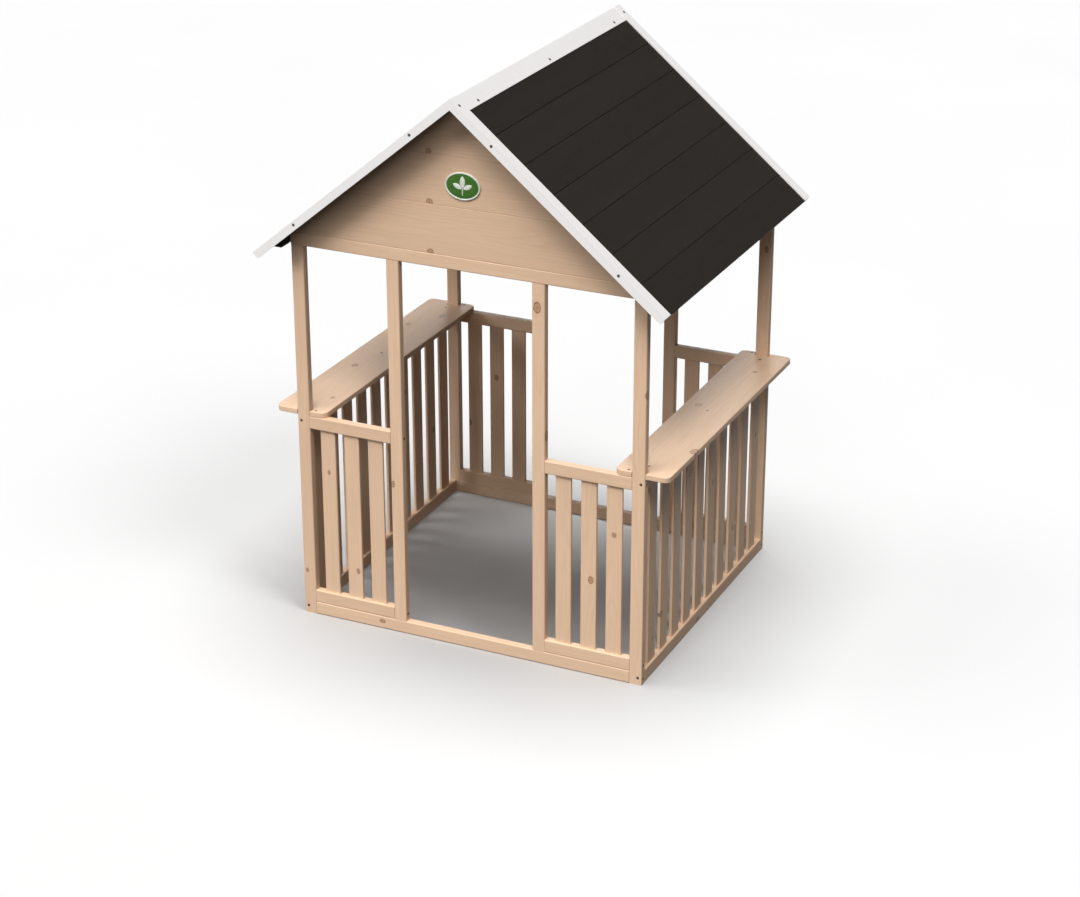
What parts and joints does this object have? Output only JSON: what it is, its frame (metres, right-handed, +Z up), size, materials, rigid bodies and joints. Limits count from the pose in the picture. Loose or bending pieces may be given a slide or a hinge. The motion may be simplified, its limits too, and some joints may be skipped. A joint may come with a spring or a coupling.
{
  "type": "open timber playhouse",
  "caption": "Open child's playhouse of softwood posts and slatted half walls, with doorways, counter shelves, boarded gables and a dark pitched roof with white edge trims.",
  "frame": {"origin": "centre of the footprint, on the ground", "axes": "+Z up, +X towards the right-hand counter seen from the front, +Y from the front gable towards the back gable"},
  "size_m": [1.148, 1.036, 1.5287],
  "materials": {
    "frame_timber": "planed softwood, clear water-based stain",
    "slat_timber": "planed softwood, clear water-based stain",
    "gable_timber": "planed softwood boards, clear water-based stain",
    "shelf_timber": "planed softwood board, rounded corners",
    "painted_boards": "softwood boards with matt near-black paint",
    "painted_battens": "softwood with matt near-black paint",
    "white_trim": "satin white powder coat on folded strip",
    "plaque": "green enamel with a pale rim",
    "screw_steel": "dark phosphated screw",
    "screw_zinc": "zinc plated screw",
    "nail_steel": "bright steel nail"
  },
  "bodies": {
    "root": {"back_gable_board_lower": "gable_timber", "back_gable_board_middle": "gable_timber", "back_gable_board_upper": "gable_timber", "back_gable_rail": "gable_timber", "back_sill": "frame_timber", "corner_post_back_left": "frame_timber", "corner_post_back_right": "frame_timber", "corner_post_front_left": "frame_timber", "corner_post_front_right": "frame_timber", "door_post_back_left": "frame_timber", "door_post_back_right": "frame_timber", "door_post_front_left": "frame_timber", "door_post_front_right": "frame_timber", "frame_screws": "screw_steel", "front_gable_board_lower": "gable_timber", "front_gable_board_middle": "gable_timber", "front_gable_board_upper": "gable_timber", "front_gable_rail": "gable_timber", "front_sill": "frame_timber", "gable_screws": "screw_steel", "panel_bottom_rail_back_left": "frame_timber", "panel_bottom_rail_back_right": "frame_timber", "panel_bottom_rail_front_left": "frame_timber", "panel_bottom_rail_front_right": "frame_timber", "panel_slats_back_left": "slat_timber", "panel_slats_back_right": "slat_timber", "panel_slats_front_left": "slat_timber", "panel_slats_front_right": "slat_timber", "panel_top_rail_back_left": "frame_timber", "panel_top_rail_back_right": "frame_timber", "panel_top_rail_front_left": "frame_timber", "panel_top_rail_front_right": "frame_timber", "plaque": "plaque", "ridge_cap": "white_trim", "ridge_cap_screws": "screw_zinc", "roof_batten_left_back": "painted_battens", "roof_batten_left_front": "painted_battens", "roof_batten_left_middle": "painted_battens", "roof_batten_right_back": "painted_battens", "roof_batten_right_front": "painted_battens", "roof_batten_right_middle": "painted_battens", "roof_boards_left": "painted_boards", "roof_boards_right": "painted_boards", "roof_nails": "nail_steel", "shelf_left": "shelf_timber", "shelf_right": "shelf_timber", "shelf_screws": "screw_steel", "side_bottom_rail_left": "frame_timber", "side_bottom_rail_right": "frame_timber", "side_slats_left": "slat_timber", "side_slats_right": "slat_timber", "side_top_rail_left": "frame_timber", "side_top_rail_right": "frame_timber", "sill_screws": "screw_steel", "verge_screws": "screw_zinc", "verge_trim_back_left": "white_trim", "verge_trim_back_right": "white_trim", "verge_trim_front_left": "white_trim", "verge_trim_front_right": "white_trim"}
  },
  "joints": []
}
